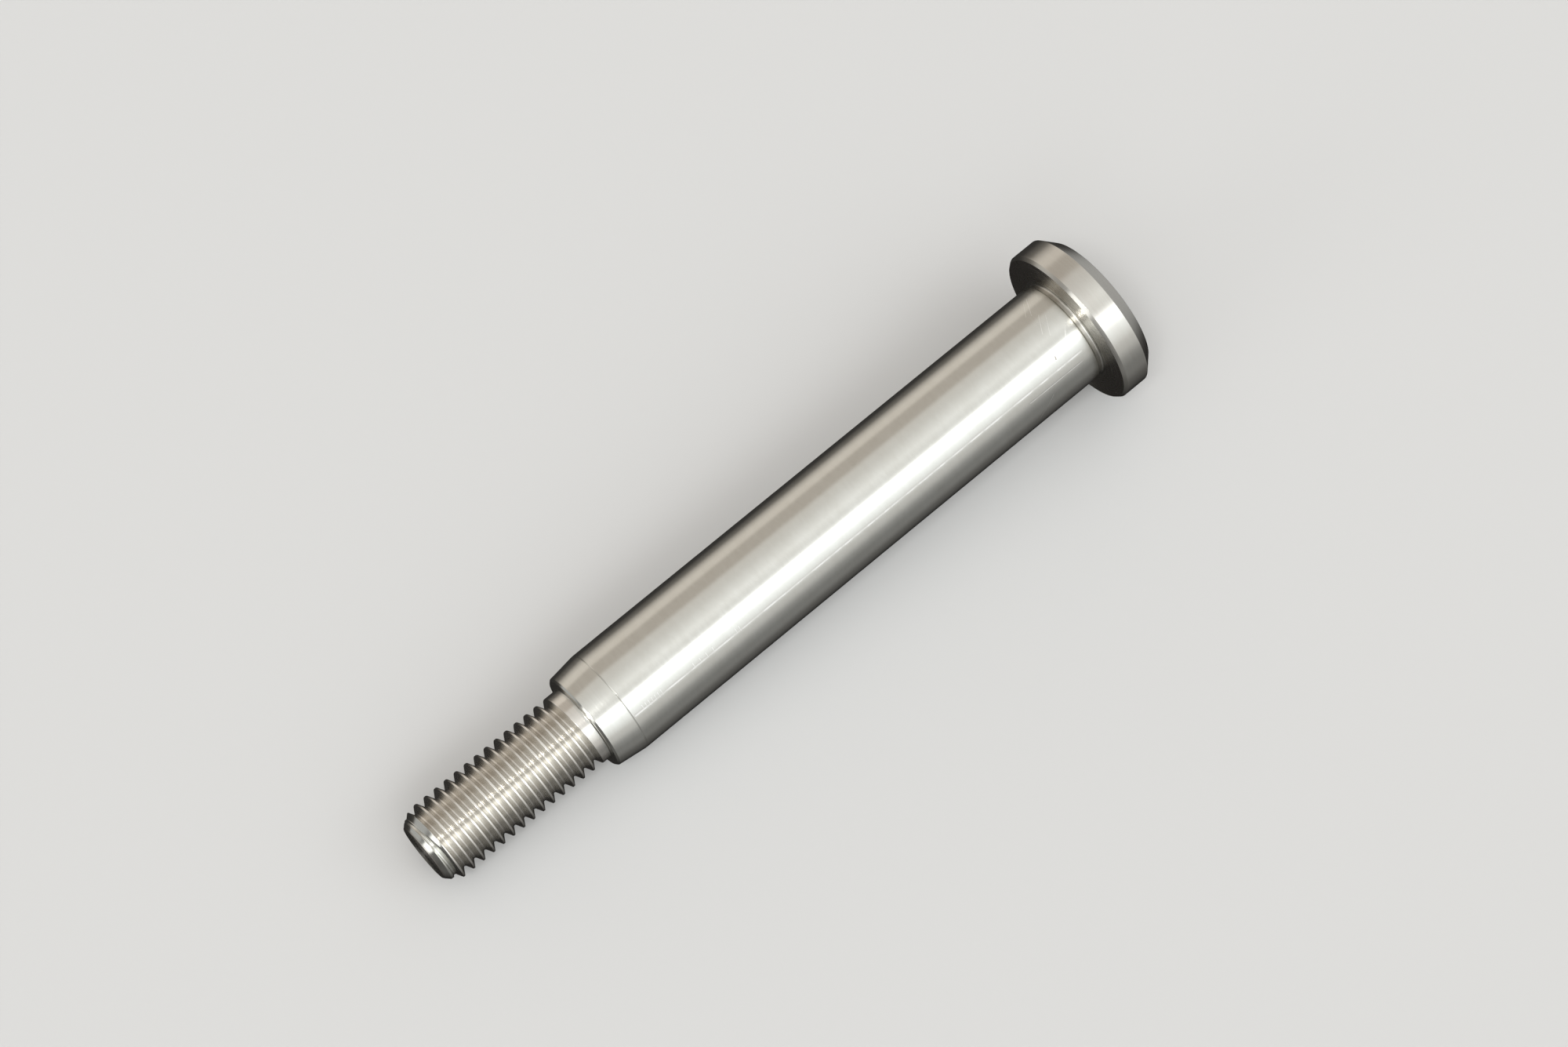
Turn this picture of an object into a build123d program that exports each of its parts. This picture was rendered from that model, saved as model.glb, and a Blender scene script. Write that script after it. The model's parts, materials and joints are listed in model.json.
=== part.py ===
from build123d import *
import math
import os

# A one-piece turned shoulder screw: a low round head, a long plain shoulder that a wheel or lever
# turns on, and a shorter threaded stud.  Lengths are in millimetres.
#
# Row frame: +X runs along the screw's axis from the stud to the head, +Z is up, and the origin is
# the centre of the head's bearing face, the flat underside that the clamped part rests against.
# The section is drawn standing up, with its axis on Z, and turned onto X at the end.

# ---- driving dimensions -------------------------------------------------------------------------

SHOULDER_DIAMETER = 16.0
SHOULDER_LENGTH = 88.0        # from the bearing face to the shoulder's end face
STUD_LENGTH = 28.0            # from the shoulder's end face to the tip, relief neck included

HEAD_DIAMETER = 24.8
HEAD_HEIGHT = 6.0
HEAD_TOP_CHAMFER = 1.9        # 45 degrees, round the outer face
HEAD_UNDER_BEVEL_WIDTH = 0.4  # in from the rim
HEAD_UNDER_BEVEL_HEIGHT = 0.5

THREAD_PITCH = 1.75           # M12 coarse, right-hand
THREAD_DIAMETER = 11.75       # over the crests
THREAD_DEPTH = 1.05
THREAD_ROOT_FLAT = 0.28
THREAD_FLANK_ANGLE = 30.0     # each flank leans this far from square to the axis
THREAD_START_TURN = 165.0     # where the groove begins, in degrees round the axis
THREAD_TURNS = 15.35          # turns of groove at full depth, counted from below the tip
THREAD_RUN_OUT_LENGTH = 0.75  # along the axis, while the tool draws back out of the groove
TIP_FACE_RADIUS = 4.275       # the flat end of the stud
TIP_LAND_RADIUS = 5.05        # short land between the tip's chamfer and the first crest's
TIP_LAND_WIDTH = 0.375        # both chamfers are 45 degrees

# ---- turned details -----------------------------------------------------------------------------

HEAD_RELIEF_WIDTH = 1.0       # groove where the shoulder meets the head
HEAD_RELIEF_DEPTH = 0.25
HEAD_RELIEF_RADIUS = 0.4

LEAD_IN_LENGTH = 4.6          # tapered start of the shoulder, edge chamfer included
LEAD_IN_ANGLE = 7.0
LEAD_IN_EDGE_CHAMFER = 0.3
GRINDING_LINE_WIDTH = 0.20    # fine ring where the ground cylinder stops and the taper starts
GRINDING_LINE_DEPTH = 0.11    # deepest near the taper, sloping up to the cylinder

NECK_FILLET = 0.45            # where the stud meets the shoulder's end face

# ---- hexagon socket for the key, in the head's outer face ----------------------------------------

SOCKET_ACROSS_FLATS = 8.0
SOCKET_DEPTH = 4.6
SOCKET_MOUTH_CHAMFER = 0.35
SOCKET_POINT_ANGLE = 30.0     # slope of the drilled cone below the flats
HALF_HEXAGON_SIDE = 30.0      # what half of one flat spans round the axis, in degrees

# ---- how far the cutting solids reach past the work ----------------------------------------------

GROOVE_CLEARANCE = 0.12       # past the crests
RUN_OUT_CLEARANCE = 0.2       # past the crests, where the groove ends
CUTTER_CLEARANCE = 1.0        # past the tip's chamfer and the socket's mouth

# ---- worked out from the above -------------------------------------------------------------------

SHOULDER_RADIUS = SHOULDER_DIAMETER / 2
HEAD_RADIUS = HEAD_DIAMETER / 2
STUD_RADIUS = THREAD_DIAMETER / 2
ROOT_RADIUS = STUD_RADIUS - THREAD_DEPTH
SHOULDER_END = -SHOULDER_LENGTH
NECK_TOP = SHOULDER_END - NECK_FILLET
TIP = SHOULDER_END - STUD_LENGTH
LEAD_IN_START = SHOULDER_END + LEAD_IN_LENGTH
LEAD_IN_SMALL_END = SHOULDER_END + LEAD_IN_EDGE_CHAMFER
TIP_LAND_START = TIP + TIP_LAND_RADIUS - TIP_FACE_RADIUS
TIP_LAND_END = TIP_LAND_START + TIP_LAND_WIDTH
LEAD_IN_DROP = (LEAD_IN_START - LEAD_IN_SMALL_END) * math.tan(math.radians(LEAD_IN_ANGLE))
LEAD_IN_SMALL_RADIUS = SHOULDER_RADIUS - LEAD_IN_DROP


def quarter_arc(start, centre, radius, end):
    """A hollow quarter arc from one profile point to another, towards the axis and the head."""
    reach = radius / math.sqrt(2)
    middle = (centre[0] - reach, centre[1] + reach)
    return ThreePointArc((start[0], 0, start[1]), (middle[0], 0, middle[1]), (end[0], 0, end[1]))


def straight_run(points):
    """Straight lines through profile points, each given as (radius, height)."""
    return Polyline([(radius, 0, height) for radius, height in points])


def shoulder_and_head():
    """The shoulder and the head, spun round the axis from their half section."""
    neck_centre = (STUD_RADIUS + NECK_FILLET, NECK_TOP)
    neck_start = (STUD_RADIUS, NECK_TOP)
    core = [(0, NECK_TOP), neck_start]

    end_face_start = (STUD_RADIUS + NECK_FILLET, SHOULDER_END)
    relief_floor = SHOULDER_RADIUS - HEAD_RELIEF_DEPTH
    relief_end = (relief_floor, -HEAD_RELIEF_RADIUS)
    shoulder = [
        end_face_start,
        (LEAD_IN_SMALL_RADIUS - LEAD_IN_EDGE_CHAMFER, SHOULDER_END),
        (LEAD_IN_SMALL_RADIUS, LEAD_IN_SMALL_END),
        (SHOULDER_RADIUS, LEAD_IN_START),
        (SHOULDER_RADIUS - GRINDING_LINE_DEPTH, LEAD_IN_START + GRINDING_LINE_WIDTH / 8),
        (SHOULDER_RADIUS, LEAD_IN_START + GRINDING_LINE_WIDTH),
        (SHOULDER_RADIUS, -HEAD_RELIEF_WIDTH),
        (relief_floor, -HEAD_RELIEF_WIDTH + HEAD_RELIEF_DEPTH),
        relief_end,
    ]
    relief_centre = (relief_floor + HEAD_RELIEF_RADIUS, -HEAD_RELIEF_RADIUS)
    bearing_face_start = (relief_floor + HEAD_RELIEF_RADIUS, 0)

    head = [
        bearing_face_start,
        (HEAD_RADIUS - HEAD_UNDER_BEVEL_WIDTH, 0),
        (HEAD_RADIUS, HEAD_UNDER_BEVEL_HEIGHT),
        (HEAD_RADIUS, HEAD_HEIGHT - HEAD_TOP_CHAMFER),
        (HEAD_RADIUS - HEAD_TOP_CHAMFER, HEAD_HEIGHT),
        (0, HEAD_HEIGHT),
        (0, NECK_TOP),
    ]
    outline = [
        straight_run(core),
        quarter_arc(neck_start, neck_centre, NECK_FILLET, end_face_start),
        straight_run(shoulder),
        quarter_arc(relief_end, relief_centre, HEAD_RELIEF_RADIUS, bearing_face_start),
        straight_run(head),
    ]
    edges = [edge for stretch in outline for edge in stretch.edges()]
    half_section = make_face(Wire(edges))
    return revolve(half_section, axis=Axis.Z, revolution_arc=360)


def groove_section(height):
    """The thread groove's section: a 60 degree vee with a flat floor, open past the crests."""
    outside = STUD_RADIUS + GROOVE_CLEARANCE
    spread = (outside - ROOT_RADIUS) * math.tan(math.radians(THREAD_FLANK_ANGLE))
    floor = THREAD_ROOT_FLAT / 2
    corners = [
        (ROOT_RADIUS, 0, height - floor),
        (outside, 0, height - floor - spread),
        (outside, 0, height + floor + spread),
        (ROOT_RADIUS, 0, height + floor),
    ]
    return make_face(Polyline(corners, close=True))


def thread_groove():
    """The helical groove, with a run-out where the tool draws back out of the work."""
    start = TIP - THREAD_PITCH / 2
    full_height = THREAD_TURNS * THREAD_PITCH
    path = Helix(THREAD_PITCH, full_height, ROOT_RADIUS, center=(0, 0, start))
    groove = sweep(groove_section(start), path=path, is_frenet=True)

    run_out_rise = THREAD_DEPTH + RUN_OUT_CLEARANCE
    cone_angle = math.degrees(math.atan2(run_out_rise, THREAD_RUN_OUT_LENGTH))
    slant_pitch = THREAD_PITCH / math.cos(math.radians(cone_angle))
    top = start + full_height
    run_out_path = Helix(
        slant_pitch,
        THREAD_RUN_OUT_LENGTH,
        ROOT_RADIUS,
        center=(0, 0, top),
        cone_angle=cone_angle,
    )
    run_out = sweep(groove_section(top), path=run_out_path, is_frenet=True)
    run_out = Rot(0, 0, THREAD_TURNS * 360) * run_out
    return Rot(0, 0, THREAD_START_TURN) * (groove + run_out)


def tip_chamfer_ring():
    """What the tip's chamfer and the first crest's take off the stud, with clearance all round."""
    outside = STUD_RADIUS + CUTTER_CLEARANCE
    below = TIP - CUTTER_CLEARANCE
    corners = [
        (TIP_FACE_RADIUS - CUTTER_CLEARANCE, below),
        (outside, below),
        (outside, TIP_LAND_END + outside - TIP_LAND_RADIUS),
        (TIP_LAND_RADIUS, TIP_LAND_END),
        (TIP_LAND_RADIUS, TIP_LAND_START),
    ]
    outline = Polyline([(radius, 0, height) for radius, height in corners], close=True)
    return revolve(make_face(outline), axis=Axis.Z, revolution_arc=360)


def threaded_stud():
    """The stud: a plain bar with its thread cut first and its tip chamfered after."""
    length = NECK_TOP - TIP
    bar = Pos(0, 0, TIP + length / 2) * Cylinder(STUD_RADIUS, length)
    return bar - thread_groove() - tip_chamfer_ring()


def hexagon_socket():
    """The key's socket: a hexagon with a drilled point below it and a chamfered mouth above."""
    inscribed = SOCKET_ACROSS_FLATS / 2
    corner_radius = inscribed / math.cos(math.radians(HALF_HEXAGON_SIDE))
    floor = HEAD_HEIGHT - SOCKET_DEPTH
    hexagon = RegularPolygon(inscribed, side_count=6, major_radius=False)
    flats = extrude(Pos(0, 0, floor) * hexagon, amount=SOCKET_DEPTH + CUTTER_CLEARANCE)

    point_depth = inscribed * math.tan(math.radians(SOCKET_POINT_ANGLE))
    point = Pos(0, 0, floor - point_depth / 2) * Cone(0, inscribed, point_depth)

    mouth_radius = corner_radius + SOCKET_MOUTH_CHAMFER
    mouth_height = mouth_radius - inscribed
    mouth = Pos(0, 0, HEAD_HEIGHT - mouth_height / 2) * Cone(inscribed, mouth_radius, mouth_height)
    return flats + point + mouth


def shoulder_screw():
    standing = threaded_stud() + (shoulder_and_head() - hexagon_socket())
    return Rot(0, 90, 0) * standing


os.makedirs("parts", exist_ok=True)
screw = shoulder_screw()
screw.label = "shoulder_screw"
export_step(screw, "parts/shoulder_screw.step")

print(f"shoulder radius {SHOULDER_RADIUS:.3f}, lead-in small radius {LEAD_IN_SMALL_RADIUS:.3f}")
print(f"stud radius {STUD_RADIUS:.3f}, root radius {ROOT_RADIUS:.3f}")
print(f"overall {HEAD_HEIGHT - TIP:.1f} mm, solids {len(screw.solids())}, valid {screw.is_valid}")
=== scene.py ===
import json
import math
import random

import bmesh
import bpy
import numpy as np
from mathutils import Matrix, Vector


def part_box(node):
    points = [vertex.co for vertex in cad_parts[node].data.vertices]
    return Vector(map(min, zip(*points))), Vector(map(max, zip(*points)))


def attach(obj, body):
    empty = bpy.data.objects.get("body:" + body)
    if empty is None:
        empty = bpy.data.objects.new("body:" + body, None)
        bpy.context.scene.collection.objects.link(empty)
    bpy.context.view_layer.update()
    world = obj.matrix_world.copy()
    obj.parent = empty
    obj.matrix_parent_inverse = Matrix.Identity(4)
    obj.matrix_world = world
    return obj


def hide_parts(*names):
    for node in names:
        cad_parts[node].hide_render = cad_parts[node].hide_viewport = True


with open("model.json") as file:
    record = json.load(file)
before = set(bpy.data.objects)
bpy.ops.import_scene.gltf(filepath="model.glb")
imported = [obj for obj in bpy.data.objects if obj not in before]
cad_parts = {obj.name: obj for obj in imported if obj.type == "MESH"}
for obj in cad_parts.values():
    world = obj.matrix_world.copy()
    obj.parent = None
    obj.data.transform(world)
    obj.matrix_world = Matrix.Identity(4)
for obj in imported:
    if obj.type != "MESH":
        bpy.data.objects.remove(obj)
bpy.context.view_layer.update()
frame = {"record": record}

# The looks of a turned stainless-steel shoulder screw.  +X runs along its axis from the stud to the
# head, and the origin is the centre of the head's bearing face.  Sizes named here are millimetres;
# Blender's own lengths are metres, so MM turns one into the other.

MM = 0.001
NODE = "shoulder_screw"
MOUNTS = {mount["name"]: mount for mount in frame["record"]["mounts"]}
LOW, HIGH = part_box(NODE)

# ---- sizes from the frame -----------------------------------------------------------------------

TIP = LOW.x / MM
HEAD_HEIGHT = HIGH.x / MM
HEAD_RADIUS = HIGH.z / MM
SHOULDER_END = MOUNTS["shoulder_end_face"]["pos_m"][0] / MM
SHOULDER_RADIUS = MOUNTS["shoulder"]["dims"]["r_mm"]
STUD_RADIUS = MOUNTS["thread"]["dims"]["r_mm"]
SOCKET_DEPTH = MOUNTS["key_socket"]["dims"]["length_mm"]

# ---- turned details, as on the CAD part ---------------------------------------------------------

PITCH = 1.75
THREAD_DEPTH = 1.05
ROOT_FLAT = 0.28
FLANK_ANGLE = math.radians(30)
THREAD_START = math.radians(75)   # angle round the axis where the groove begins, half a pitch out
THREAD_TURNS = 15.35              # from where the groove begins to where it starts to fade out
RUN_OUT_TURNS = 0.43
RUN_OUT_RISE = THREAD_DEPTH + 0.2   # how far the groove is drawn back over those, clear of the crests
TIP_FACE_RADIUS = 4.275
TIP_LAND_RADIUS = 5.05            # short land between the tip's chamfer and the first crest's
TIP_LAND_WIDTH = 0.375
NECK_FILLET = 0.45
LEAD_IN_LENGTH = 4.6              # tapered start of the shoulder, its edge chamfer included
LEAD_IN_ANGLE = math.radians(7)
LEAD_IN_CHAMFER = 0.3
GRINDING_LINE_WIDTH = 0.20        # fine ring where the ground cylinder stops and the taper starts
GRINDING_LINE_DEPTH = 0.11        # deepest near the taper, sloping up to the cylinder
RELIEF_WIDTH = 1.0
RELIEF_DEPTH = 0.25
RELIEF_RADIUS = 0.4
UNDER_BEVEL_WIDTH = 0.4
UNDER_BEVEL_HEIGHT = 0.5
TOP_CHAMFER = 1.9
SOCKET_APOTHEM = 4.0
SOCKET_MOUTH = 0.35               # how far the mouth's chamfer reaches past the flats' corners
DRILL_SLOPE = math.tan(math.radians(30))

FLANK_SLOPE = 1 / math.tan(FLANK_ANGLE)
ROOT_RADIUS = STUD_RADIUS - THREAD_DEPTH
ROOT_ROUNDING = ROOT_FLAT / 2 * FLANK_SLOPE
TAPER_START = SHOULDER_END + LEAD_IN_LENGTH

# ---- mesh -----------------------------------------------------------------------------------------

COLUMNS = 180                     # facets round the axis
ARC_STEP = math.radians(18)       # most that an edge's rounding turns from one point to the next
SUPPORT = 0.04                    # a point this far from a rounding keeps the flat beside it flat
EDGE = 0.06                       # how far an ordinary edge is broken
LONGEST_REACH = 0.45              # most of a run that the rounding at one of its ends may take
TIP_STEP = 0.03                   # from one ring to the next where the chamfers cut the threads
ROOT_LINES = (1 / 3, 2 / 3, 1, 1.2)              # beside a root, in shares of its round half
CREST_LINES = (-0.045, -0.02, 0, 0.02, 0.045)    # beside a crest's corner, from that corner
WELD_DISTANCE = 1e-4
SHARP_ANGLE = math.radians(28)    # an edge that turns more than this is shaded sharp
ANGLES = np.linspace(0, 2 * math.pi, COLUMNS + 1)

# The ground cylinder, from just past the fine ring at one end to just short of the relief's edge.
GROUND_START = TAPER_START + 2 * GRINDING_LINE_WIDTH
GROUND_END = -RELIEF_WIDTH - 3 * EDGE

FINISHES = ("ground", "turned", "threaded", "faced", "rim", "broached")


def ring(x, radius, finish):
    """One closed ring of points.  finish is that of the strip from this ring to the next."""
    return np.full_like(ANGLES, x), np.full_like(ANGLES, radius), finish


def rounded(corners):
    """Points (x, radius) along straight runs between corners (x, radius, rounding)."""
    points = [np.array(corners[0][:2])]
    for before, corner, after in zip(corners, corners[1:], corners[2:]):
        here = np.array(corner[:2])
        back = np.array(before[:2]) - here
        onward = np.array(after[:2]) - here
        room = min(np.linalg.norm(back), np.linalg.norm(onward))
        back = back / np.linalg.norm(back)
        onward = onward / np.linalg.norm(onward)
        half = math.acos(np.clip(back @ onward, -1, 1)) / 2
        rounding = min(corner[2], LONGEST_REACH * room * math.tan(half))
        reach = rounding / math.tan(half)
        middle = back + onward
        centre = here + middle / np.linalg.norm(middle) * rounding / math.sin(half)
        turn = math.pi - 2 * half
        steps = max(2, math.ceil(turn / ARC_STEP))
        start = here + back * reach - centre
        stop = here + onward * reach - centre
        if room > 2 * (reach + SUPPORT):
            points.append(here + back * (reach + SUPPORT))
        for step in range(steps + 1):
            share = step / steps
            mixed = start * math.sin((1 - share) * turn) + stop * math.sin(share * turn)
            points.append(centre + mixed / math.sin(turn))
        if room > 2 * (reach + SUPPORT):
            points.append(here + onward * (reach + SUPPORT))
    points.append(np.array(corners[-1][:2]))
    return points


def spun(corners, finish, spacing=4.0):
    """Rings along rounded corners, with more of them on any run longer than spacing."""
    points = rounded(corners)
    rings = []
    for here, after in zip(points, points[1:]):
        parts = max(1, math.ceil(np.linalg.norm(after - here) / spacing))
        for part in range(parts):
            x, radius = here + (after - here) * part / parts
            rings.append(ring(x, radius, finish))
    return rings


def lower_of(one, other, blend):
    """The lower of two heights, with the corner between them rounded off over blend."""
    overlap = np.maximum(blend - np.abs(one - other), 0)
    return np.minimum(one, other) - overlap**2 / (4 * blend)


def thread_radius(x, angle):
    """The thread's surface: a rounded vee groove along a right-hand helix, fading out at its end."""
    helix_start = TIP - PITCH / 2
    round_axis = (angle - THREAD_START) / (2 * math.pi)
    turns = (x - helix_start) / PITCH - round_axis
    groove = np.round(turns)
    offset = np.abs(turns - groove) * PITCH
    apex = ROOT_RADIUS - ROOT_ROUNDING
    root_arc = apex + 2 * ROOT_ROUNDING - np.sqrt(np.maximum(ROOT_ROUNDING**2 - offset**2, 0))
    flank = apex + offset * FLANK_SLOPE
    vee = np.where(offset < ROOT_ROUNDING * math.cos(FLANK_ANGLE), root_arc, flank)
    past_full_depth = np.maximum(groove + round_axis - THREAD_TURNS, 0)
    drawn_back = past_full_depth / RUN_OUT_TURNS * RUN_OUT_RISE
    return lower_of(vee + drawn_back, STUD_RADIUS, EDGE)


def tip_limit(x):
    """How far out the tip's two chamfers, and the short land between them, let the stud reach."""
    chamfer = TIP_FACE_RADIUS + x - TIP
    land = lower_of(chamfer, TIP_LAND_RADIUS, EDGE)
    return np.maximum(land, chamfer - TIP_LAND_WIDTH)


def tip_rings():
    """The stud's flat tip, and the stretch where its chamfers cut across the first threads."""
    chamfers_end = TIP + STUD_RADIUS - TIP_FACE_RADIUS + TIP_LAND_WIDTH
    corners = [(TIP, 0, 0), (TIP, TIP_FACE_RADIUS, 2 * EDGE), (chamfers_end, STUD_RADIUS, 0)]
    face = spun(corners, "faced", spacing=0.8)
    face = [row for row in face if row[0][0] < TIP + 2 * EDGE]
    rings = []
    for x in np.arange(TIP + 3 * EDGE, chamfers_end + 2 * EDGE, TIP_STEP):
        radius = lower_of(thread_radius(x, ANGLES), tip_limit(x), EDGE)
        finish = "turned" if x < chamfers_end else "threaded"
        rings.append((np.full_like(ANGLES, x), radius, finish))
    return face + rings


def thread_rings(start, stop):
    """Lines that follow the helix, so that crests and roots are true edges; both ends are square."""
    half_root = ROOT_ROUNDING * math.cos(FLANK_ANGLE)
    corner = ROOT_FLAT / 2 + THREAD_DEPTH * math.tan(FLANK_ANGLE)
    near_root = [half_root * share for share in ROOT_LINES]
    near_crest = [corner + step for step in CREST_LINES]
    one_side = near_root + near_crest
    offsets = sorted([0, PITCH / 2] + one_side + [-offset for offset in one_side])
    helix_start = TIP - PITCH / 2
    rings = []
    for turn in range(-1, math.ceil((stop - helix_start) / PITCH) + 1):
        centre = helix_start + PITCH * (turn + (ANGLES - THREAD_START) / (2 * math.pi))
        for offset in offsets:
            x = np.clip(centre + offset, start, stop)
            rings.append((x, thread_radius(x, ANGLES), "threaded"))
    return rings


def stud_end_rings():
    """The neck's fillet, the shoulder's end face, its tapered lead-in and the fine ring behind it."""
    taper_end = SHOULDER_END + LEAD_IN_CHAMFER
    small = SHOULDER_RADIUS - (TAPER_START - taper_end) * math.tan(LEAD_IN_ANGLE)
    low_point = TAPER_START + GRINDING_LINE_WIDTH / 8
    rounding = GRINDING_LINE_DEPTH / 5
    neck = [
        (SHOULDER_END - NECK_FILLET, STUD_RADIUS, 0),
        (SHOULDER_END, STUD_RADIUS, NECK_FILLET),
        (SHOULDER_END, small - LEAD_IN_CHAMFER, EDGE),
        (taper_end, small, EDGE),
        (TAPER_START, SHOULDER_RADIUS, rounding),
        (low_point, SHOULDER_RADIUS - GRINDING_LINE_DEPTH, rounding),
        (TAPER_START + GRINDING_LINE_WIDTH, SHOULDER_RADIUS, rounding),
        (GROUND_START, SHOULDER_RADIUS, 0),
    ]
    return spun(neck, "turned")


def shoulder_rings():
    """The long ground cylinder that the moving part turns on."""
    return spun([(GROUND_START, SHOULDER_RADIUS, 0), (GROUND_END, SHOULDER_RADIUS, 0)], "ground")


def head_rings():
    """The relief groove, the bearing face, the rim with its two chamfers, and the outer face."""
    floor = SHOULDER_RADIUS - RELIEF_DEPTH
    face_starts = (0, SHOULDER_RADIUS + RELIEF_RADIUS, 0)
    face_stops = (0, HEAD_RADIUS - UNDER_BEVEL_WIDTH - EDGE, 0)
    rim_stops = (HEAD_HEIGHT, HEAD_RADIUS - TOP_CHAMFER - 1, 0)
    mouth_starts = (HEAD_HEIGHT, mouth_radius() + EDGE, 0)
    relief = [
        (GROUND_END, SHOULDER_RADIUS, 0),
        (-RELIEF_WIDTH, SHOULDER_RADIUS, EDGE),
        (-RELIEF_WIDTH + RELIEF_DEPTH, floor, EDGE),
        (0, floor, RELIEF_RADIUS),
        face_starts,
    ]
    rim = [
        face_stops,
        (0, HEAD_RADIUS - UNDER_BEVEL_WIDTH, EDGE / 2),
        (UNDER_BEVEL_HEIGHT, HEAD_RADIUS, EDGE),
        (HEAD_HEIGHT - TOP_CHAMFER, HEAD_RADIUS, EDGE),
        (HEAD_HEIGHT, HEAD_RADIUS - TOP_CHAMFER, 2 * EDGE),
        rim_stops,
    ]
    return (
        spun(relief, "turned")
        + spun([face_starts, face_stops], "faced", spacing=1.0)
        + spun(rim, "rim")
        + spun([rim_stops, mouth_starts], "faced", spacing=1.0)
    )


def mouth_radius():
    """Where the socket's chamfered mouth meets the head's outer face."""
    return SOCKET_APOTHEM / math.cos(math.radians(30)) + SOCKET_MOUTH


def socket_rings():
    """The hexagon socket: a conical mouth, six flats, and the cone left by the drill."""
    sixth = math.radians(60)
    hexagon = SOCKET_APOTHEM / np.cos((ANGLES - sixth / 2) % sixth - sixth / 2)
    floor = np.full_like(ANGLES, HEAD_HEIGHT - SOCKET_DEPTH)
    flats_start = HEAD_HEIGHT - (mouth_radius() - hexagon)
    rings = [ring(HEAD_HEIGHT, mouth_radius(), "turned")]
    wall_parts = 8
    for part in range(wall_parts):
        rings.append((flats_start + (floor - flats_start) * part / wall_parts, hexagon, "broached"))
    rings.append((floor, hexagon, "turned"))
    for share in (1, 0.75, 0.5, 0.25, 0):
        radius = SOCKET_APOTHEM * share
        x = floor[0] - (SOCKET_APOTHEM - radius) * DRILL_SLOPE
        rings.append(ring(x, radius, "turned"))
    return rings


def build_mesh(name, rings):
    """One closed mesh through the rings, welded where their points coincide."""
    x = np.array([row[0] for row in rings])
    radius = np.array([row[1] for row in rings])
    points = np.stack([x, radius * np.cos(ANGLES), radius * np.sin(ANGLES)], axis=2) * MM
    number = np.arange(x.size).reshape(x.shape)
    near, far = number[:-1], number[1:]
    quads = np.stack([near[:, :-1], near[:, 1:], far[:, 1:], far[:, :-1]], axis=2)
    finish = [FINISHES.index(row[2]) for row in rings[:-1]]
    mesh = bpy.data.meshes.new(name)
    mesh.from_pydata(points.reshape(-1, 3).tolist(), [], quads.reshape(-1, 4).tolist())
    mesh.polygons.foreach_set("material_index", np.repeat(finish, COLUMNS).astype(np.int32))
    welded = bmesh.new()
    welded.from_mesh(mesh)
    bmesh.ops.remove_doubles(welded, verts=welded.verts, dist=WELD_DISTANCE * MM)
    welded.to_mesh(mesh)
    welded.free()
    mesh.shade_smooth()
    mesh.set_sharp_from_angle(angle=SHARP_ANGLE)
    return mesh


# ---- steel ----------------------------------------------------------------------------------------

# Each finish has a dull and a bright base colour.  Rubbed marks have one; dust and painted shade share one.
DULL = (0.605, 0.602, 0.555)
BRIGHT = (0.652, 0.654, 0.612)
THREAD_DULL = (0.66, 0.64, 0.59)
THREAD_BRIGHT = (0.73, 0.71, 0.66)
FACE_DULL = (0.50, 0.475, 0.43)
FACE_BRIGHT = (0.57, 0.55, 0.505)
SOCKET_DULL = (0.50, 0.48, 0.45)
SOIL_AND_SHADE = (0.30, 0.27, 0.23)
SOIL_AND_SHADE_STRENGTH = 0.45
SOIL_AND_SHADE_ROUGHNESS = 0.05
THREAD_ROOT_SHADE = 0.3                 # most painted shade in the thread's roots, where the other recesses have 1
BURNISHED = (0.93, 0.93, 0.90)
BURNISH_STRENGTH = 0.85
WEAR_DEPTH = 0.009
WEAR_ROUGHNESS = 0.12

WANDER = 2.0                      # how often the tool's marks change round the axis
BROAD_PER_MM = 0.6                # broad lathe marks, and how often those change round the axis
BROAD_WANDER = 1.5
PATCHES_PER_MM = 0.25
NOISE_LOW = 0.3                   # nearly all of a noise lies between these two
NOISE_HIGH = 0.7


def put(tree, kind, settings=None, inputs=None):
    """A new node, with its settings, and each input either a number or another node's output."""
    made = tree.nodes.new(kind)
    for name, value in (settings or {}).items():
        setattr(made, name, value)
    for name, value in (inputs or {}).items():
        if isinstance(value, bpy.types.NodeSocket):
            tree.links.new(value, made.inputs[name])
        else:
            made.inputs[name].default_value = value
    return made


def maths(tree, operation, *values):
    """The result of a math node."""
    inputs = dict(enumerate(values))
    return put(tree, "ShaderNodeMath", {"operation": operation}, inputs).outputs[0]


def remap(tree, value, low, high, to_low, to_high):
    """value carried smoothly from low..high to to_low..to_high."""
    settings = {"interpolation_type": "SMOOTHSTEP"}
    inputs = {"Value": value, "From Min": low, "From Max": high, "To Min": to_low, "To Max": to_high}
    return put(tree, "ShaderNodeMapRange", settings, inputs).outputs["Result"]


def around_axis(tree):
    """Where a point is: millimetres along the axis and out from it, its angle round it, and more."""
    place = put(tree, "ShaderNodeTexCoord").outputs["Object"]
    in_mm = put(tree, "ShaderNodeVectorMath", {"operation": "SCALE"}, {0: place, "Scale": 1 / MM})
    apart = put(tree, "ShaderNodeSeparateXYZ", None, {0: in_mm.outputs[0]})
    along, across, up = apart.outputs
    up_squared = maths(tree, "MULTIPLY", up, up)
    out = maths(tree, "SQRT", maths(tree, "MULTIPLY_ADD", across, across, up_squared))
    return {
        "along": along,
        "out": out,
        "cosine": maths(tree, "DIVIDE", across, out),
        "sine": maths(tree, "DIVIDE", up, out),
        "angle": maths(tree, "ARCTAN2", up, across),
        "place": in_mm.outputs[0],
    }


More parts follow.
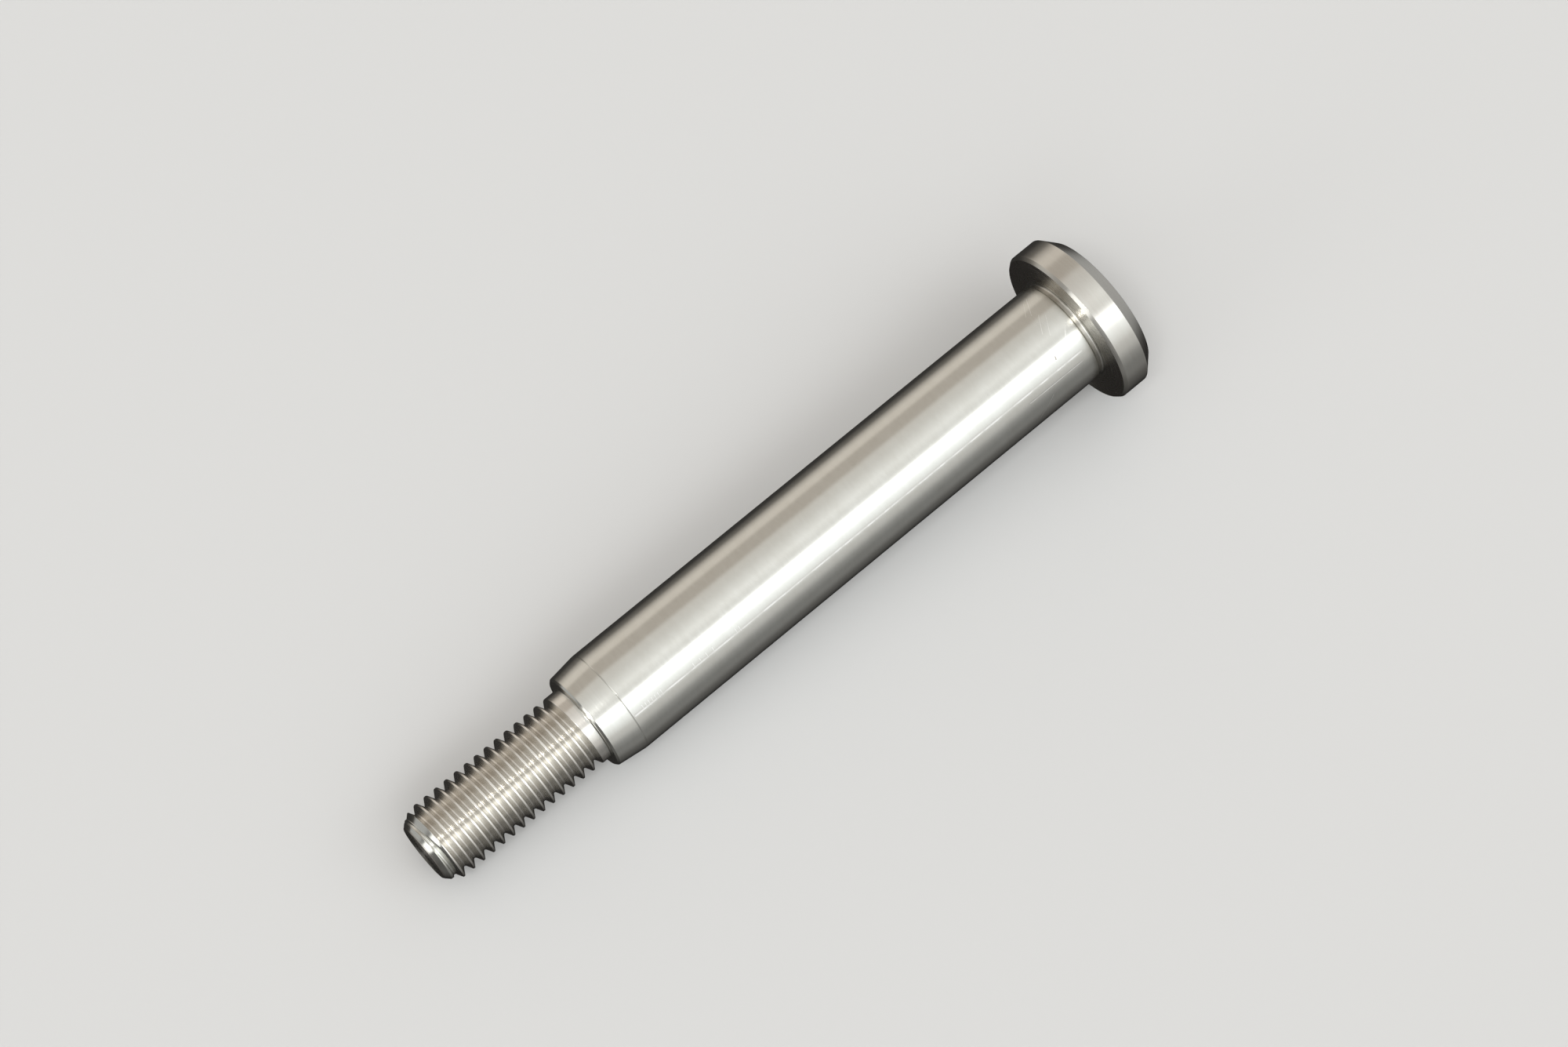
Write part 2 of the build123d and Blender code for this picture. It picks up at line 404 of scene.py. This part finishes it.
def noise_4d(tree, x, y, z, w, detail=2.0):
    """Noise of four coordinates, which lets two of them be the cosine and sine of an angle."""
    vector = put(tree, "ShaderNodeCombineXYZ", None, {"X": x, "Y": y, "Z": z}).outputs[0]
    inputs = {"Vector": vector, "W": w, "Scale": 1.0, "Detail": detail, "Roughness": 0.6}
    return put(tree, "ShaderNodeTexNoise", {"noise_dimensions": "4D"}, inputs).outputs[0]


def scaled(tree, value, factor):
    """value times factor."""
    return maths(tree, "MULTIPLY", value, factor)


def lathe_marks(tree, at, per_mm, wander):
    """Rings left by turning: many changes along the axis, and only wander of them around it."""
    along = scaled(tree, at["along"], per_mm)
    out = scaled(tree, at["out"], per_mm)
    cosine = scaled(tree, at["cosine"], wander)
    sine = scaled(tree, at["sine"], wander)
    return noise_4d(tree, along, out, cosine, sine)


def thread_marks(tree, at, per_mm, wander):
    """Fine lines left along the thread's flanks: they follow the helix, and repeat every pitch."""
    circle = per_mm * PITCH / (2 * math.pi)
    turn = maths(tree, "SUBTRACT", scaled(tree, at["along"], 2 * math.pi / PITCH), at["angle"])
    cosine = scaled(tree, maths(tree, "COSINE", turn), circle)
    sine = scaled(tree, maths(tree, "SINE", turn), circle)
    out = scaled(tree, at["out"], per_mm)
    return noise_4d(tree, cosine, sine, out, scaled(tree, at["cosine"], wander))


def ground_marks(tree, at, per_mm, wander):
    """Grinding lines: like those from turning, but they change four times as often round the axis."""
    along = scaled(tree, at["along"], per_mm)
    cosine = scaled(tree, at["cosine"], 4 * wander)
    sine = scaled(tree, at["sine"], 4 * wander)
    return noise_4d(tree, along, 0.0, cosine, sine, detail=3.0)


def cloud(tree, at, per_mm, detail=3.0):
    """Plain noise, the same in every direction."""
    inputs = {"Vector": at["place"], "Scale": per_mm, "Detail": detail}
    return put(tree, "ShaderNodeTexNoise", None, inputs).outputs[0]


def weighted(tree, first, *rest):
    """The sum of (value, weight) pairs."""
    total = maths(tree, "MULTIPLY", *first)
    for value, weight in rest:
        total = maths(tree, "MULTIPLY_ADD", value, weight, total)
    return total


def highest(tree, values):
    """The highest of several values."""
    top = values[0]
    for value in values[1:]:
        top = maths(tree, "MAXIMUM", top, value)
    return top


def tinted(tree, share, first, second):
    """The first colour where share is 0 and the second where it is 1; each a node's or a plain one."""
    mix = put(tree, "ShaderNodeMix", {"data_type": "RGBA"}, {"Factor": share})
    for name, colour in (("A", first), ("B", second)):
        if isinstance(colour, bpy.types.NodeSocket):
            tree.links.new(colour, mix.inputs[name])
        else:
            mix.inputs[name].default_value = (*colour[:3], 1)
    return mix.outputs["Result"]


# ---- wear -----------------------------------------------------------------------------------------

# Marks on the shoulder, each from one point to another, as (x, angle round the axis in degrees), with
# how far it fades out to each side.  The first two run along the shoulder, the rest are by the head.
LONG_LINES = (
    ((-83.2, 134.9), (-2.4, 134.9), 0.24),
    ((-12.5, 144.9), (-3.0, 144.9), 0.14),
)
HEAD_SCRATCHES = (
    ((-3.1, 52), (-4.6, 74), 0.07),
    ((-3.9, 55), (-5.3, 71), 0.05),
    ((-3.9, 79), (-5.4, 97), 0.06),
    ((-3.2, 84), (-4.7, 103), 0.05),
    ((-2.2, 104), (-3.4, 117), 0.04),
)
TICK_GROUPS = ((-81.4, 7, 0.55), (-72.4, 4, 1.15), (-64.9, 2, 0.6))   # x, how many, how far apart
TICK_ANGLES = (130.0, 136.0)
TICK_WIDTH = 0.07
TICK_STRENGTH = 0.8
# A dent by the head, its colour painted dark as painted shade.
NICK = ((-6.0, 122.4), (-6.1, 125.2), 0.16)
HANDLING_SCRATCHES = 12
SCRATCH_STRENGTH = 0.55
LEAST_RUBBED = 0.35               # how much of a long line shows where it is faintest


def ticks():
    """Short marks across the first of the long lines, near its stud end."""
    marks = []
    for start, count, spacing in TICK_GROUPS:
        for number in range(count):
            x = start + spacing * number
            marks.append(((x, TICK_ANGLES[0]), (x, TICK_ANGLES[1]), TICK_WIDTH))
    return marks


def handling_scratches():
    """Faint scratches from handling, all round the shoulder, the same on each run."""
    chance = random.Random(12)
    marks = []
    for _ in range(HANDLING_SCRATCHES):
        x = chance.uniform(TAPER_START + 3, -5)
        angle = chance.uniform(160, 410)
        length = chance.uniform(-5, 5)
        turn = chance.uniform(-22, 22)
        marks.append(((x, angle), (x + length, angle + turn), chance.uniform(0.03, 0.06)))
    return marks


def scratch(tree, at, mark):
    """1 along the middle of a mark on the shoulder, and 0 beside it."""
    (start_x, start_angle), (stop_x, stop_angle), width = mark
    degrees = maths(tree, "WRAP", maths(tree, "DEGREES", at["angle"]), start_angle + 180, start_angle - 180)
    per_degree = SHOULDER_RADIUS * math.pi / 180
    inputs = {
        "X": maths(tree, "SUBTRACT", at["along"], start_x),
        "Y": scaled(tree, maths(tree, "SUBTRACT", degrees, start_angle), per_degree),
        "Z": 0.0,
    }
    away = put(tree, "ShaderNodeCombineXYZ", None, inputs).outputs[0]
    run = Vector((stop_x - start_x, (stop_angle - start_angle) * per_degree, 0))
    length = run.length
    line = run.normalized()
    dot = put(tree, "ShaderNodeVectorMath", {"operation": "DOT_PRODUCT"}, {0: away, 1: line})
    reach = maths(tree, "MINIMUM", maths(tree, "MAXIMUM", dot.outputs["Value"], 0.0), length)
    nearest = put(tree, "ShaderNodeVectorMath", {"operation": "SCALE"}, {0: line, "Scale": reach})
    inputs = {0: away, 1: nearest.outputs[0]}
    distance = put(tree, "ShaderNodeVectorMath", {"operation": "DISTANCE"}, inputs).outputs["Value"]
    return remap(tree, distance, 0.0, width, 1.0, 0.0)


def shoulder_wear(tree, at):
    """Where the shoulder is rubbed bright and where it is dented, each from 0 to 1.  The dent is painted
    dark, as painted shade.
    """
    patchy = remap(tree, cloud(tree, at, 0.35, 4.0), 0.42, 0.58, LEAST_RUBBED, 1.0)
    fine = list(HEAD_SCRATCHES) + handling_scratches()
    rubbed = []
    for marks, strength in ((LONG_LINES, patchy), (fine, SCRATCH_STRENGTH), (ticks(), TICK_STRENGTH)):
        deepest = highest(tree, [scratch(tree, at, mark) for mark in marks])
        rubbed.append(scaled(tree, deepest, strength))
    return highest(tree, rubbed), scratch(tree, at, NICK)


def painted_recess_shade(tree, at):
    """Painted shade: darker in the relief groove under the head and at the foot of the neck."""
    fade = 0.05
    up_the_fillet = 0.3
    along = at["along"]
    in_groove = remap(tree, along, -RELIEF_WIDTH - fade, -RELIEF_WIDTH + RELIEF_DEPTH, 0.0, 1.0)
    low = remap(tree, at["out"], SHOULDER_RADIUS + up_the_fillet, SHOULDER_RADIUS, 0.0, 1.0)
    on_fillet = remap(tree, along, SHOULDER_END - NECK_FILLET, SHOULDER_END, 0.0, 1.0)
    before_taper = remap(tree, along, SHOULDER_END + fade, SHOULDER_END, 0.0, 1.0)
    under_head = maths(tree, "MULTIPLY", in_groove, low)
    at_neck = maths(tree, "MULTIPLY", on_fillet, before_taper)
    return maths(tree, "MAXIMUM", under_head, at_neck)


def painted_root_shade(tree, at):
    """Painted shade on the thread: darker low on the flanks and in the roots."""
    shaded_below = ROOT_RADIUS + 0.1
    unshaded_above = STUD_RADIUS - 0.3
    return remap(tree, at["out"], shaded_below, unshaded_above, THREAD_ROOT_SHADE, 0.0)


def face_soil(tree, at):
    """Dust and residue on the bearing face and the tip, in small patches."""
    return remap(tree, cloud(tree, at, 1.6, 5.0), 0.5, 0.68, 0.0, 1.0)


def steel(name, tints, roughness, spread, marks, bump_height, anisotropy, soil_and_shade=None, wear=None):
    """Machined steel.

    tints are its dull and its bright colour, spread is how far roughness varies, and marks is the
    function for the tool's marks with how many there are to a millimetre.  bump_height is theirs in
    millimetres, and anisotropy is how far they stretch a highlight along the axis.  Where the surface
    has them, the last two arguments give where it is darkened, by painted shade in its recesses and
    by dust on its faces, and where it is scratched.
    """
    material = bpy.data.materials.new(name)
    material.use_nodes = True
    tree = material.node_tree
    shader = tree.nodes["Principled BSDF"]
    at = around_axis(tree)
    make_marks, marks_per_mm = marks
    fine = make_marks(tree, at, marks_per_mm, WANDER)
    broad = lathe_marks(tree, at, BROAD_PER_MM, BROAD_WANDER)
    patches = cloud(tree, at, PATCHES_PER_MM)

    mottle = weighted(tree, (broad, 0.4), (fine, 0.4), (patches, 0.2))
    share = remap(tree, mottle, NOISE_LOW, NOISE_HIGH, 0.0, 1.0)
    colour = tinted(tree, share, *tints)
    grain = weighted(tree, (fine, 0.85), (patches, 0.15))
    rough = remap(tree, grain, NOISE_LOW, NOISE_HIGH, roughness - spread, roughness + spread)
    height = fine
    # Painted shade in the recesses and thread roots, and dust in patches on the faces, darken the colour
    # here.
    if soil_and_shade:
        uneven = remap(tree, cloud(tree, at, 0.8), NOISE_LOW, NOISE_HIGH, 0.5, 1.0)
        amount = scaled(tree, soil_and_shade(tree, at), uneven)
        colour = tinted(tree, scaled(tree, amount, SOIL_AND_SHADE_STRENGTH), colour, SOIL_AND_SHADE)
        rough = maths(tree, "MULTIPLY_ADD", amount, SOIL_AND_SHADE_ROUGHNESS, rough)
    if wear:
        rubbed, dented_and_shaded = wear(tree, at)
        depth = maths(tree, "MAXIMUM", rubbed, dented_and_shaded)
        colour = tinted(tree, scaled(tree, rubbed, BURNISH_STRENGTH), colour, BURNISHED)
        # The dent is painted dark with the residue colour: painted shade.
        colour = tinted(tree, dented_and_shaded, colour, SOIL_AND_SHADE)
        rough = maths(tree, "MULTIPLY_ADD", depth, WEAR_ROUGHNESS, rough)
        height = maths(tree, "MULTIPLY_ADD", depth, -WEAR_DEPTH / bump_height, fine)
    tree.links.new(colour, shader.inputs["Base Color"])
    tree.links.new(rough, shader.inputs["Roughness"])

    bump = put(tree, "ShaderNodeBump", None, {"Height": height, "Distance": bump_height * MM})
    tree.links.new(bump.outputs["Normal"], shader.inputs["Normal"])
    tangent = put(tree, "ShaderNodeTangent", {"direction_type": "RADIAL", "axis": "X"})
    tree.links.new(tangent.outputs["Tangent"], shader.inputs["Tangent"])
    shader.inputs["Metallic"].default_value = 1.0
    shader.inputs["Anisotropic"].default_value = anisotropy
    shader.inputs["Anisotropic Rotation"].default_value = 0.25   # a quarter turn, to blur along the axis
    return material


def steels():
    """One material for each finish, in the order of FINISHES."""
    plain = (DULL, BRIGHT)
    brighter = (THREAD_DULL, THREAD_BRIGHT)
    browner = (FACE_DULL, FACE_BRIGHT)
    on_rim = (FACE_BRIGHT, DULL)
    in_socket = (SOCKET_DULL, DULL)
    # The numbers are roughness and its spread, marks to a millimetre, their height, and anisotropy.
    return [
        steel("ground_steel", plain, 0.20, 0.03, (ground_marks, 6), 0.0009, 0.7, wear=shoulder_wear),
        steel("turned_steel", plain, 0.17, 0.03, (lathe_marks, 5), 0.0010, 0.5, soil_and_shade=painted_recess_shade),
        steel("threaded_steel", brighter, 0.20, 0.04, (thread_marks, 9), 0.0020, 0.85, soil_and_shade=painted_root_shade),
        steel("faced_steel", browner, 0.27, 0.05, (lathe_marks, 4), 0.0016, 0.85, soil_and_shade=face_soil),
        steel("rim_steel", on_rim, 0.22, 0.035, (lathe_marks, 5), 0.0010, 0.7),
        steel("broached_steel", in_socket, 0.38, 0.06, (lathe_marks, 6), 0.0020, 0.3),
    ]


# ---- floor, light and camera ----------------------------------------------------------------------

FLOOR_HALF = 3.0                  # metres
FLOOR_COLOUR = (0.57, 0.57, 0.56, 1)
FLOOR_ROUGHNESS = 0.7


def floor_direction():
    """Which way is up from the floor: the screw lies on its head's rim and its shoulder's end."""
    drop = HEAD_RADIUS - SHOULDER_RADIUS
    run = UNDER_BEVEL_HEIGHT - TAPER_START
    return Vector((drop, 0, run)).normalized()


def make_floor():
    """A plain pale floor, seen from above only."""
    up = floor_direction()
    touch = Vector((UNDER_BEVEL_HEIGHT, 0, -HEAD_RADIUS)) * MM
    side = up.cross(Vector((0, 1, 0)))
    half = FLOOR_HALF
    square = ((-half, -half), (-half, half), (half, half), (half, -half))
    corners = [touch + side * along + Vector((0, across, 0)) for along, across in square]
    mesh = bpy.data.meshes.new("floor")
    mesh.from_pydata(corners, [], [(0, 1, 2, 3)])
    if mesh.polygons[0].normal.z < 0:
        mesh.flip_normals()
    floor = bpy.data.objects.new("floor", mesh)
    bpy.context.scene.collection.objects.link(floor)
    material = bpy.data.materials.new("pale_floor")
    material.use_nodes = True
    tree = material.node_tree
    shader = tree.nodes["Principled BSDF"]
    shader.inputs["Base Color"].default_value = FLOOR_COLOUR
    shader.inputs["Roughness"].default_value = FLOOR_ROUGHNESS
    clear = put(tree, "ShaderNodeBsdfTransparent")
    behind = put(tree, "ShaderNodeNewGeometry").outputs["Backfacing"]
    mix = put(tree, "ShaderNodeMixShader", None, {0: behind, 1: shader.outputs[0], 2: clear.outputs[0]})
    tree.links.new(mix.outputs[0], tree.nodes["Material Output"].inputs["Surface"])
    mesh.materials.append(material)
    floor.visible_glossy = False
    return floor


# The studio's light, in soft bands that run along the screw.  Each entry is an angle round the
# screw's axis in degrees, how bright the light is there, and how warm, where less than 0 is cold.
# 0 is level behind the screw, 90 overhead, 180 level in front and 270 below, where only the steel
# sees the dark under the studio.
BANDS = (
    (-90, 0.02, 0.1),
    (-35, 0.05, 0.1),
    (-14, 0.20, 0.15),
    (-2, 0.62, 0.15),
    (8, 0.86, 0.15),
    (21, 0.86, 0.15),
    (27, 0.61, 0.17),
    (50, 0.61, 0.17),
    (57, 0.84, 0.08),
    (72, 0.88, 0.05),
    (98, 1.16, 0.01),
    (111, 1.04, 0.01),
    (118, 1.14, 0.0),
    (124, 2.60, -0.02),
    (135, 2.60, -0.04),
    (143, 1.60, -0.05),
    (156, 1.24, -0.03),
    (163, 1.04, 0.0),
    (170, 0.80, 0.02),
    (180, 0.70, 0.02),
    (192, 0.40, 0.01),
    (206, 0.27, 0.01),
    (222, 0.26, 0.02),
    (236, 0.15, 0.05),
    (270, 0.02, 0.1),
)
# What the steel sees past the screw's two ends, by height above the level in degrees.
PAST_THE_STUD = (
    (-90, 0.02, 0.1),
    (-53, 0.05, 0.1),
    (-20, 0.12, 0.05),
    (0, 0.20, 0.05),
    (27, 0.48, 0.03),
    (53, 0.88, 0.02),
    (90, 1.10, 0.02),
)
PAST_THE_HEAD = (
    (-90, 0.03, 0.1),
    (-45, 0.08, 0.1),
    (-37, 0.16, 0.02),
    (-27, 0.44, 0.0),
    (0, 0.64, 0.0),
    (25, 0.80, 0.0),
    (90, 1.10, 0.02),
)
# Lamps: which way each lies, half its width and its soft edge in degrees, and its brightness.
LAMPS = (
    ((-0.80, 0.58, -0.10), 14, 8, 0.55),
    ((-0.90, 0.04, 0.40), 11, 6, 2.0),
    ((-0.985, 0.02, 0.14), 9, 4, 1.9),
    ((-0.36, -0.20, 0.91), 4, 3, 19.0),
)
PEAK = max(lamp[3] for lamp in LAMPS)
BACKGROUND = 0.55
# A direction's share along the axis where the light past an end starts, and where it is all there is.
END_STARTS = 0.55
END_FULL = 0.85


def shade(brightness, warmth):
    """A light's colour, as a share of the brightest: less green and less blue still when warm."""
    level = brightness / PEAK
    return level, level * (1 - warmth / 2), level * (1 - warmth), 1


def band_colours(tree, degrees, table):
    """The table's light at an angle that lies between its first entry's and its last's."""
    first = table[0][0]
    span = table[-1][0] - first
    share = maths(tree, "DIVIDE", maths(tree, "SUBTRACT", degrees, first), span)
    ramp = put(tree, "ShaderNodeValToRGB", None, {"Fac": share})
    while len(ramp.color_ramp.elements) < len(table):
        ramp.color_ramp.elements.new(1.0)
    for element, (angle, brightness, warmth) in zip(ramp.color_ramp.elements, table):
        element.position = (angle - first) / span
        element.color = shade(brightness, warmth)
    return ramp.outputs["Color"]


def studio_light(tree):
    """The light that comes from each direction, as the steel and the floor receive it."""
    direction = put(tree, "ShaderNodeTexCoord").outputs["Generated"]
    along, across, up = put(tree, "ShaderNodeSeparateXYZ", None, {0: direction}).outputs
    degrees = maths(tree, "DEGREES", maths(tree, "ARCTAN2", up, across))
    bands = band_colours(tree, maths(tree, "WRAP", degrees, BANDS[-1][0], BANDS[0][0]), BANDS)
    height = maths(tree, "DEGREES", maths(tree, "ARCSINE", up))
    past_stud = band_colours(tree, height, PAST_THE_STUD)
    past_head = band_colours(tree, height, PAST_THE_HEAD)
    light = tinted(tree, remap(tree, along, END_STARTS, END_FULL, 0, 1), bands, past_head)
    light = tinted(tree, remap(tree, along, -END_FULL, -END_STARTS, 1, 0), light, past_stud)
    for way, half_width, soft_edge, brightness in LAMPS:
        inputs = {0: direction, 1: Vector(way).normalized()}
        nearness = put(tree, "ShaderNodeVectorMath", {"operation": "DOT_PRODUCT"}, inputs)
        edge = math.cos(math.radians(half_width + soft_edge))
        core = math.cos(math.radians(half_width))
        inside = remap(tree, nearness.outputs["Value"], edge, core, 0, 1)
        light = tinted(tree, inside, light, shade(brightness, 0))
    return light


def make_studio():
    """The world: the studio's light, behind which the camera itself sees an even pale tone."""
    world = bpy.data.worlds.new("studio")
    bpy.context.scene.world = world
    world.use_nodes = True
    tree = world.node_tree
    background = tree.nodes["Background"]
    tree.links.new(studio_light(tree), background.inputs["Color"])
    background.inputs["Strength"].default_value = PEAK
    plain = put(tree, "ShaderNodeBackground", None, {"Color": (BACKGROUND,) * 3 + (1,)})
    seen = put(tree, "ShaderNodeLightPath").outputs["Is Camera Ray"]
    inputs = {0: seen, 1: background.outputs[0], 2: plain.outputs[0]}
    mix = put(tree, "ShaderNodeMixShader", None, inputs)
    tree.links.new(mix.outputs[0], tree.nodes["World Output"].inputs["Surface"])


# The camera's place and aim, in millimetres.
CAMERA_PLACE = Vector((-178.9, -186.2, 587.4))
CAMERA_AIM = Vector((-48.6, 4.0, 0))
CAMERA_ROLL = math.radians(-0.35)
CAMERA_LENS = 105.0
SENSOR_WIDTH = 36.0


def make_camera():
    """The camera stands level over the floor and looks down at the screw from its stud's side."""
    data = bpy.data.cameras.new("camera")
    data.lens = CAMERA_LENS
    data.sensor_width = SENSOR_WIDTH
    data.clip_end = 20
    camera = bpy.data.objects.new("camera", data)
    bpy.context.scene.collection.objects.link(camera)
    forward = (CAMERA_AIM - CAMERA_PLACE).normalized()
    right = forward.cross(floor_direction()).normalized()
    up = right.cross(forward)
    turned = Matrix((right, up, -forward)).transposed() @ Matrix.Rotation(CAMERA_ROLL, 3, "Z")
    camera.matrix_world = Matrix.Translation(CAMERA_PLACE * MM) @ turned.to_4x4()
    bpy.context.scene.camera = camera


# ---- the scene ------------------------------------------------------------------------------------

tip = tip_rings()
thread_from = tip[-1][0][0]
neck_start = SHOULDER_END - NECK_FILLET
rings = (
    tip
    + thread_rings(thread_from, neck_start)
    + stud_end_rings()
    + shoulder_rings()
    + head_rings()
    + socket_rings()
)
screw = bpy.data.objects.new("turned_shoulder_screw", build_mesh("turned_shoulder_screw", rings))
bpy.context.scene.collection.objects.link(screw)
for material in steels():
    screw.data.materials.append(material)
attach(screw, "root")
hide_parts(NODE)

floor = make_floor()
make_studio()
make_camera()
bpy.context.scene.view_settings.view_transform = "Standard"
